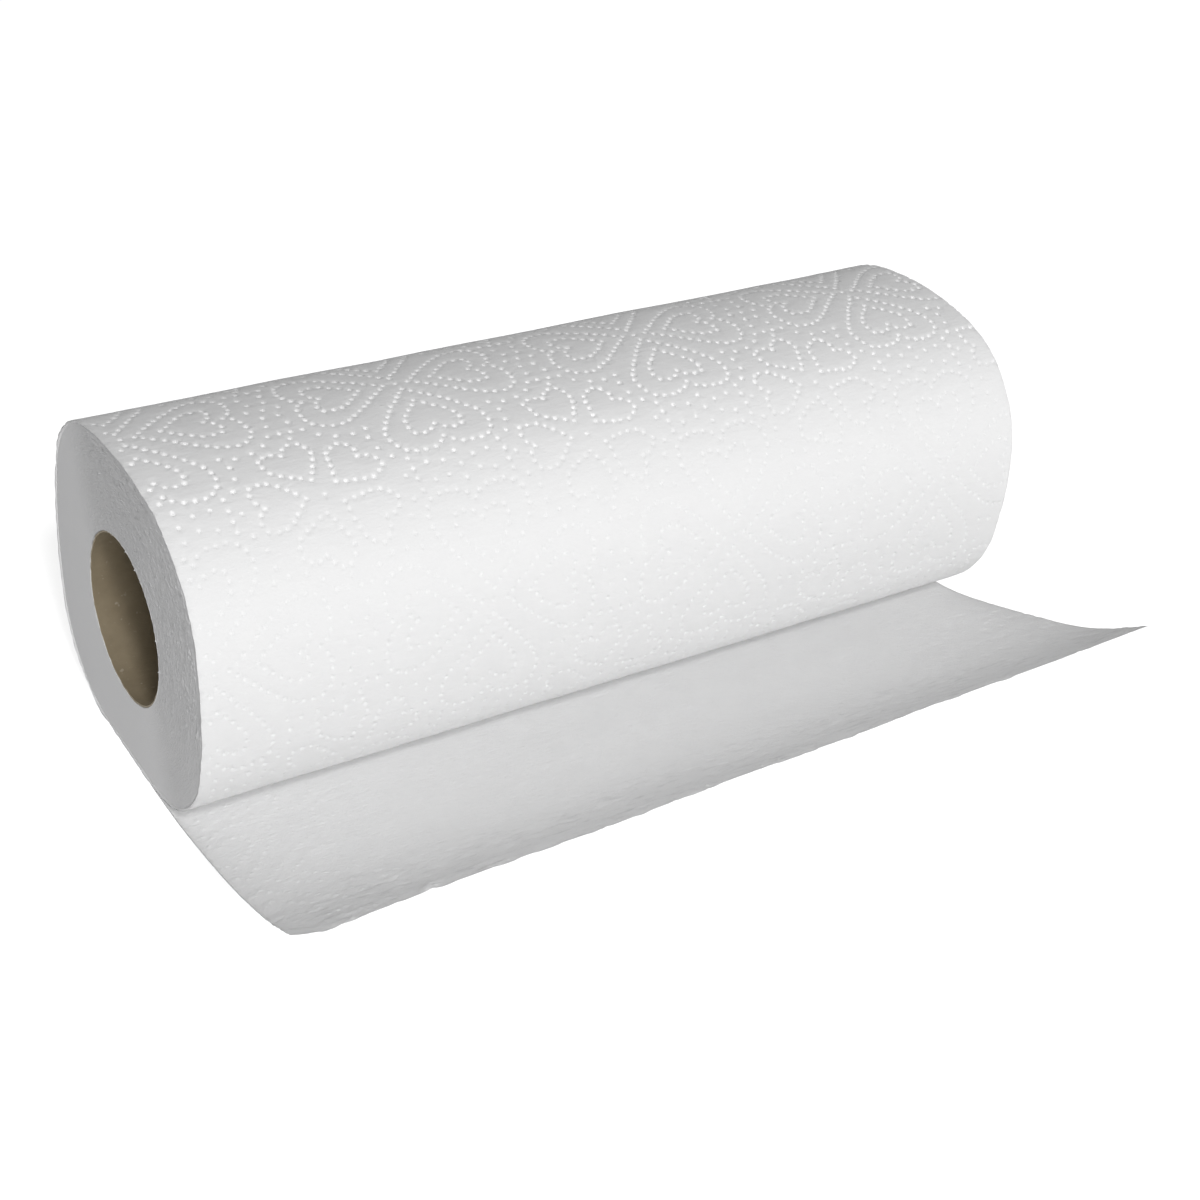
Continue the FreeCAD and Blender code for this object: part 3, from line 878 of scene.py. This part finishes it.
def makeTissue(name, layer, changes=None):
    look = dict(tissue, **(changes or {}))
    material, tree, shader = newMaterial(name, look["roughness"], look["specular"])
    plane = addNode(tree, "ShaderNodeUVMap", {"uv_map": layer})
    grain = addFibres(tree, look["grain"], look["stretch"], look["cloud"],
                      Light=look["light"], Dark=look["dark"])
    pull = addFibres(tree, look["pullGrain"], look["pullStretch"], look["pullCloud"])
    fineBump = addNode(tree, "ShaderNodeBump", Strength=1.0, Distance=look["bump"])
    pullBump = addNode(tree, "ShaderNodeBump", Strength=1.0, Distance=look["pullBump"])
    shader.inputs["Sheen Weight"].default_value = look["sheen"]
    link = tree.links.new
    link(plane.outputs["UV"], grain.inputs["Plane"])
    link(plane.outputs["UV"], pull.inputs["Plane"])
    link(grain.outputs["Height"], fineBump.inputs["Height"])
    link(pull.outputs["Height"], pullBump.inputs["Height"])
    link(pullBump.outputs["Normal"], fineBump.inputs["Normal"])
    link(fineBump.outputs["Normal"], shader.inputs["Normal"])
    # the pressed dots take the paler colour: denser paper and a painted highlight in one
    pressed = addNode(tree, "ShaderNodeAttribute", {"attribute_name": "pressed"})
    inDot = addRange(tree, *look["dotsFrom"])
    paperWithHighlight = addMix(tree, B=look["dots"])
    link(pressed.outputs["Fac"], inDot.inputs["Value"])
    link(inDot.outputs["Result"], paperWithHighlight.inputs["Factor"])
    link(grain.outputs["Tint"], paperWithHighlight.inputs["A"])
    link(paperWithHighlight.outputs["Result"], shader.inputs["Base Color"])
    if look["creaseShade"]:
        # painted shade in the creases towards the torn edge
        split = addNode(tree, "ShaderNodeSeparateXYZ")
        near = addRange(tree, *look["creaseShadeFrom"], To_Max=look["creaseShade"])
        dark = addRange(tree, *look["creaseShadePull"])
        share = addMath(tree, "MULTIPLY")
        withCreaseShade = addMix(tree, B=look["creaseShadeColour"])
        link(plane.outputs["UV"], split.inputs[0])
        link(split.outputs["Y"], near.inputs["Value"])
        link(pull.outputs["Height"], dark.inputs["Value"])
        link(near.outputs["Result"], share.inputs[0])
        link(dark.outputs["Result"], share.inputs[1])
        link(share.outputs[0], withCreaseShade.inputs["Factor"])
        link(paperWithHighlight.outputs["Result"], withCreaseShade.inputs["A"])
        link(withCreaseShade.outputs["Result"], shader.inputs["Base Color"])
    return material


cutEdges = {
    "roughAndShaded": ((0.87, 0.87, 0.875, 1), (0.80, 0.80, 0.805, 1)),     # light and dark of the fibres, darker than the smooth pair as painted shade of the raised fibres
    "smooth": ((0.93, 0.93, 0.935, 1), (0.91, 0.91, 0.915, 1)),
    "acrossTurn": 0.9 * mm,         # space that one turn takes in the grain
    "alongTurn": 0.45,
    "grain": 1500.0,
    "cloud": 620.0,
    "roughBump": 0.17 * mm,
    "smoothBump": 0.05 * mm,
    "roughness": 1.0,
    "specular": 0.1,
}


def makeTurnsMaterial():
    # fine grain that follows the turns, loose where the fibres stand up and darker there as painted shade
    material, tree, shader = newMaterial("cut_edges", cutEdges["roughness"], cutEdges["specular"])
    place = addNode(tree, "ShaderNodeTexCoord")
    split = addNode(tree, "ShaderNodeSeparateXYZ")
    turn = addNode(tree, "ShaderNodeAttribute", {"attribute_name": "turn"})
    roughAndShaded = addNode(tree, "ShaderNodeAttribute", {"attribute_name": "roughAndShaded"})
    plane = addNode(tree, "ShaderNodeCombineXYZ")
    link = tree.links.new
    link(place.outputs["Object"], split.inputs[0])
    scales = (("X", turn.outputs["Fac"], cutEdges["acrossTurn"]),
              ("Y", split.outputs["Y"], cutEdges["alongTurn"]),
              ("Z", split.outputs["Z"], cutEdges["alongTurn"]))
    for axis, source, scale in scales:
        sized = addMath(tree, "MULTIPLY")
        sized.inputs[1].default_value = scale
        link(source, sized.inputs[0])
        link(sized.outputs[0], plane.inputs[axis])
    grains = []
    for look in ("roughAndShaded", "smooth"):
        light, dark = cutEdges[look]
        grain = addFibres(tree, cutEdges["grain"], 1.0, cutEdges["cloud"], Light=light, Dark=dark)
        link(plane.outputs[0], grain.inputs["Plane"])
        grains.append(grain)
    # the rough part takes the darker tones: painted shade
    tint = addMix(tree)
    depth = addMix(tree, "FLOAT", A=cutEdges["smoothBump"], B=cutEdges["roughBump"])
    bump = addNode(tree, "ShaderNodeBump", Strength=1.0)
    link(roughAndShaded.outputs["Fac"], tint.inputs["Factor"])
    link(grains[1].outputs["Tint"], tint.inputs["A"])
    link(grains[0].outputs["Tint"], tint.inputs["B"])
    link(roughAndShaded.outputs["Fac"], depth.inputs["Factor"])
    link(depth.outputs["Result"], bump.inputs["Distance"])
    link(grains[0].outputs["Height"], bump.inputs["Height"])
    link(bump.outputs["Normal"], shader.inputs["Normal"])
    link(tint.outputs["Result"], shader.inputs["Base Color"])
    return material


board = {
    "light": (0.365, 0.303, 0.208, 1),
    "dark": (0.225, 0.180, 0.116, 1),
    "grain": 900.0,
    "stretch": 0.25,
    "cloud": 170.0,
    "bump": 0.12 * mm,
    "cutRim": (0.46, 0.40, 0.30, 1),
    "rimFrom": (0.55, 0.8),         # how far a face looks along the core where it is rim
    "speck": (0.42, 0.36, 0.27, 1),
    "speckScale": 800.0,
    "speckFrom": (0.70, 0.78),
    "roughness": 0.8,
    "specular": 0.25,
}


def makeBoardMaterial():
    material, tree, shader = newMaterial("grey_board", board["roughness"], board["specular"])
    place = addNode(tree, "ShaderNodeTexCoord")
    grain = addFibres(tree, board["grain"], board["stretch"], board["cloud"],
                      Light=board["light"], Dark=board["dark"])
    bump = addNode(tree, "ShaderNodeBump", Strength=1.0, Distance=board["bump"])
    speck = addNode(tree, "ShaderNodeTexNoise", Scale=board["speckScale"], Detail=1.0)
    few = addRange(tree, *board["speckFrom"])
    specked = addMix(tree, B=board["speck"])
    split = addNode(tree, "ShaderNodeSeparateXYZ")
    facing = addMath(tree, "ABSOLUTE")
    onRim = addRange(tree, *board["rimFrom"])
    rimmed = addMix(tree, B=board["cutRim"])
    link = tree.links.new
    link(place.outputs["Object"], grain.inputs["Plane"])
    link(place.outputs["Object"], speck.inputs["Vector"])
    link(grain.outputs["Height"], bump.inputs["Height"])
    link(bump.outputs["Normal"], shader.inputs["Normal"])
    link(speck.outputs["Fac"], few.inputs["Value"])
    link(few.outputs["Result"], specked.inputs["Factor"])
    link(grain.outputs["Tint"], specked.inputs["A"])
    link(place.outputs["Normal"], split.inputs[0])
    link(split.outputs["X"], facing.inputs[0])
    link(facing.outputs[0], onRim.inputs["Value"])
    link(onRim.outputs["Result"], rimmed.inputs["Factor"])
    link(specked.outputs["Result"], rimmed.inputs["A"])
    link(rimmed.outputs["Result"], shader.inputs["Base Color"])
    return material


outerPiece.data.materials.append(makeTissue("embossed_tissue", "webPlane"))
# the inside of the web carries painted shade in its creases near the torn edge
loosePiece.data.materials.append(makeTissue("tissue_inside", "webPlane", {"bump": 0.13 * mm, "creaseShade": 0.6}))
turnsPiece.data.materials.append(makeTurnsMaterial())
corePiece.data.materials.append(makeBoardMaterial())
print("materials made")

for piece in (outerPiece, loosePiece, turnsPiece):
    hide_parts("towel_roll")
    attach(piece, "root")
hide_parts("cardboard_core")
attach(corePiece, "root")


# Floor, light and camera

stageLook = {
    "floorSize": 6.0,
    "floorColour": (0.93, 0.93, 0.93, 1),
    "cameraGlow": 0.68,             # what the camera sees on top, so that the floor reads white
    "glowEdge": (0.5, 1.6),         # metres from the roll over which that grows to full white
    "worldColour": (1, 1, 1, 1),
    "worldStrength": 0.20,
}


def seenByCamera(tree):
    # 1 for what the camera sees, straight or in a gloss or a glass
    path = addNode(tree, "ShaderNodeLightPath")
    glossy = addMath(tree, "MAXIMUM")
    clear = addMath(tree, "MAXIMUM")
    tree.links.new(path.outputs["Is Camera Ray"], glossy.inputs[0])
    tree.links.new(path.outputs["Is Glossy Ray"], glossy.inputs[1])
    tree.links.new(glossy.outputs[0], clear.inputs[0])
    tree.links.new(path.outputs["Is Transmission Ray"], clear.inputs[1])
    return clear.outputs[0]


def makeFloor():
    half = stageLook["floorSize"] / 2
    z = -rollShape["seatHeight"] - 0.05 * mm
    piece = meshPiece("floor", [(-half, -half, z), (half, -half, z), (half, half, z), (-half, half, z)],
                      [(0, 1, 2, 3)], smooth=False)
    material, tree, shader = newMaterial("pale_floor", 1.0, 0.0)
    shader.inputs["Base Color"].default_value = stageLook["floorColour"]
    shader.inputs["Emission Color"].default_value = (1, 1, 1, 1)
    place = addNode(tree, "ShaderNodeTexCoord")
    away = addNode(tree, "ShaderNodeVectorMath", {"operation": "LENGTH"})
    level = addRange(tree, *stageLook["glowEdge"], To_Min=stageLook["cameraGlow"])
    glow = addMath(tree, "MULTIPLY")
    tree.links.new(place.outputs["Object"], away.inputs[0])
    tree.links.new(away.outputs["Value"], level.inputs["Value"])
    tree.links.new(seenByCamera(tree), glow.inputs[0])
    tree.links.new(level.outputs["Result"], glow.inputs[1])
    tree.links.new(glow.outputs[0], shader.inputs["Emission Strength"])
    piece.data.materials.append(material)


def makeWorld():
    world = bpy.data.worlds.new("studio")
    world.use_nodes = True
    bpy.context.scene.world = world
    tree = world.node_tree
    background = tree.nodes["Background"]
    strength = addMix(tree, "FLOAT", A=stageLook["worldStrength"], B=1.0)
    background.inputs["Color"].default_value = stageLook["worldColour"]
    tree.links.new(seenByCamera(tree), strength.inputs["Factor"])
    tree.links.new(strength.outputs["Result"], background.inputs["Strength"])


# direction from the roll, distance and size in metres, power in watts
lamps = {
    "key": ((-0.23, -0.675, 0.70), 1.4, 0.17, 4.9),
    "right": ((0.45, -0.80, 0.42), 1.4, 0.5, 4.4),
    "front": ((-0.30, -0.80, 0.56), 1.4, 0.35, 4.6),
}


def makeLamp(name, direction, distance, size, power):
    light = bpy.data.lights.new(name, "AREA")
    light.shape = "DISK"
    light.size = size
    light.energy = power
    lamp = bpy.data.objects.new(name, light)
    aim = Vector(direction).normalized()
    lamp.matrix_world = Matrix.Translation(aim * distance) @ aim.to_track_quat("Z", "Y").to_matrix().to_4x4()
    bpy.context.scene.collection.objects.link(lamp)


# fitted to the outline in the photograph
view = {
    "turns": (35.94, -33.0, 5.89),  # yaw, pitch and roll, in degrees
    "place": (-0.24426, -0.3610, 0.25768),
    "lens": 59.44,
    "sensor": 36,
}


def makeCamera():
    yaw, pitch, roll = (math.radians(degrees) for degrees in view["turns"])
    place = Vector(view["place"])
    ahead = Vector((math.sin(yaw) * math.cos(pitch), math.cos(yaw) * math.cos(pitch), math.sin(pitch)))
    level = Vector((math.cos(yaw), -math.sin(yaw), 0))
    upright = level.cross(ahead)
    right = level * math.cos(roll) + upright * math.sin(roll)
    up = upright * math.cos(roll) - level * math.sin(roll)
    data = bpy.data.cameras.new("camera")
    data.sensor_width = view["sensor"]
    data.lens = view["lens"]
    camera = bpy.data.objects.new("camera", data)
    camera.matrix_world = Matrix.Translation(place) @ Matrix((right, up, -ahead)).transposed().to_4x4()
    bpy.context.scene.collection.objects.link(camera)
    bpy.context.scene.camera = camera


makeFloor()
makeWorld()
for name, lamp in lamps.items():
    makeLamp(name, *lamp)
makeCamera()
bpy.context.scene.view_settings.view_transform = "Standard"
print("stage set")
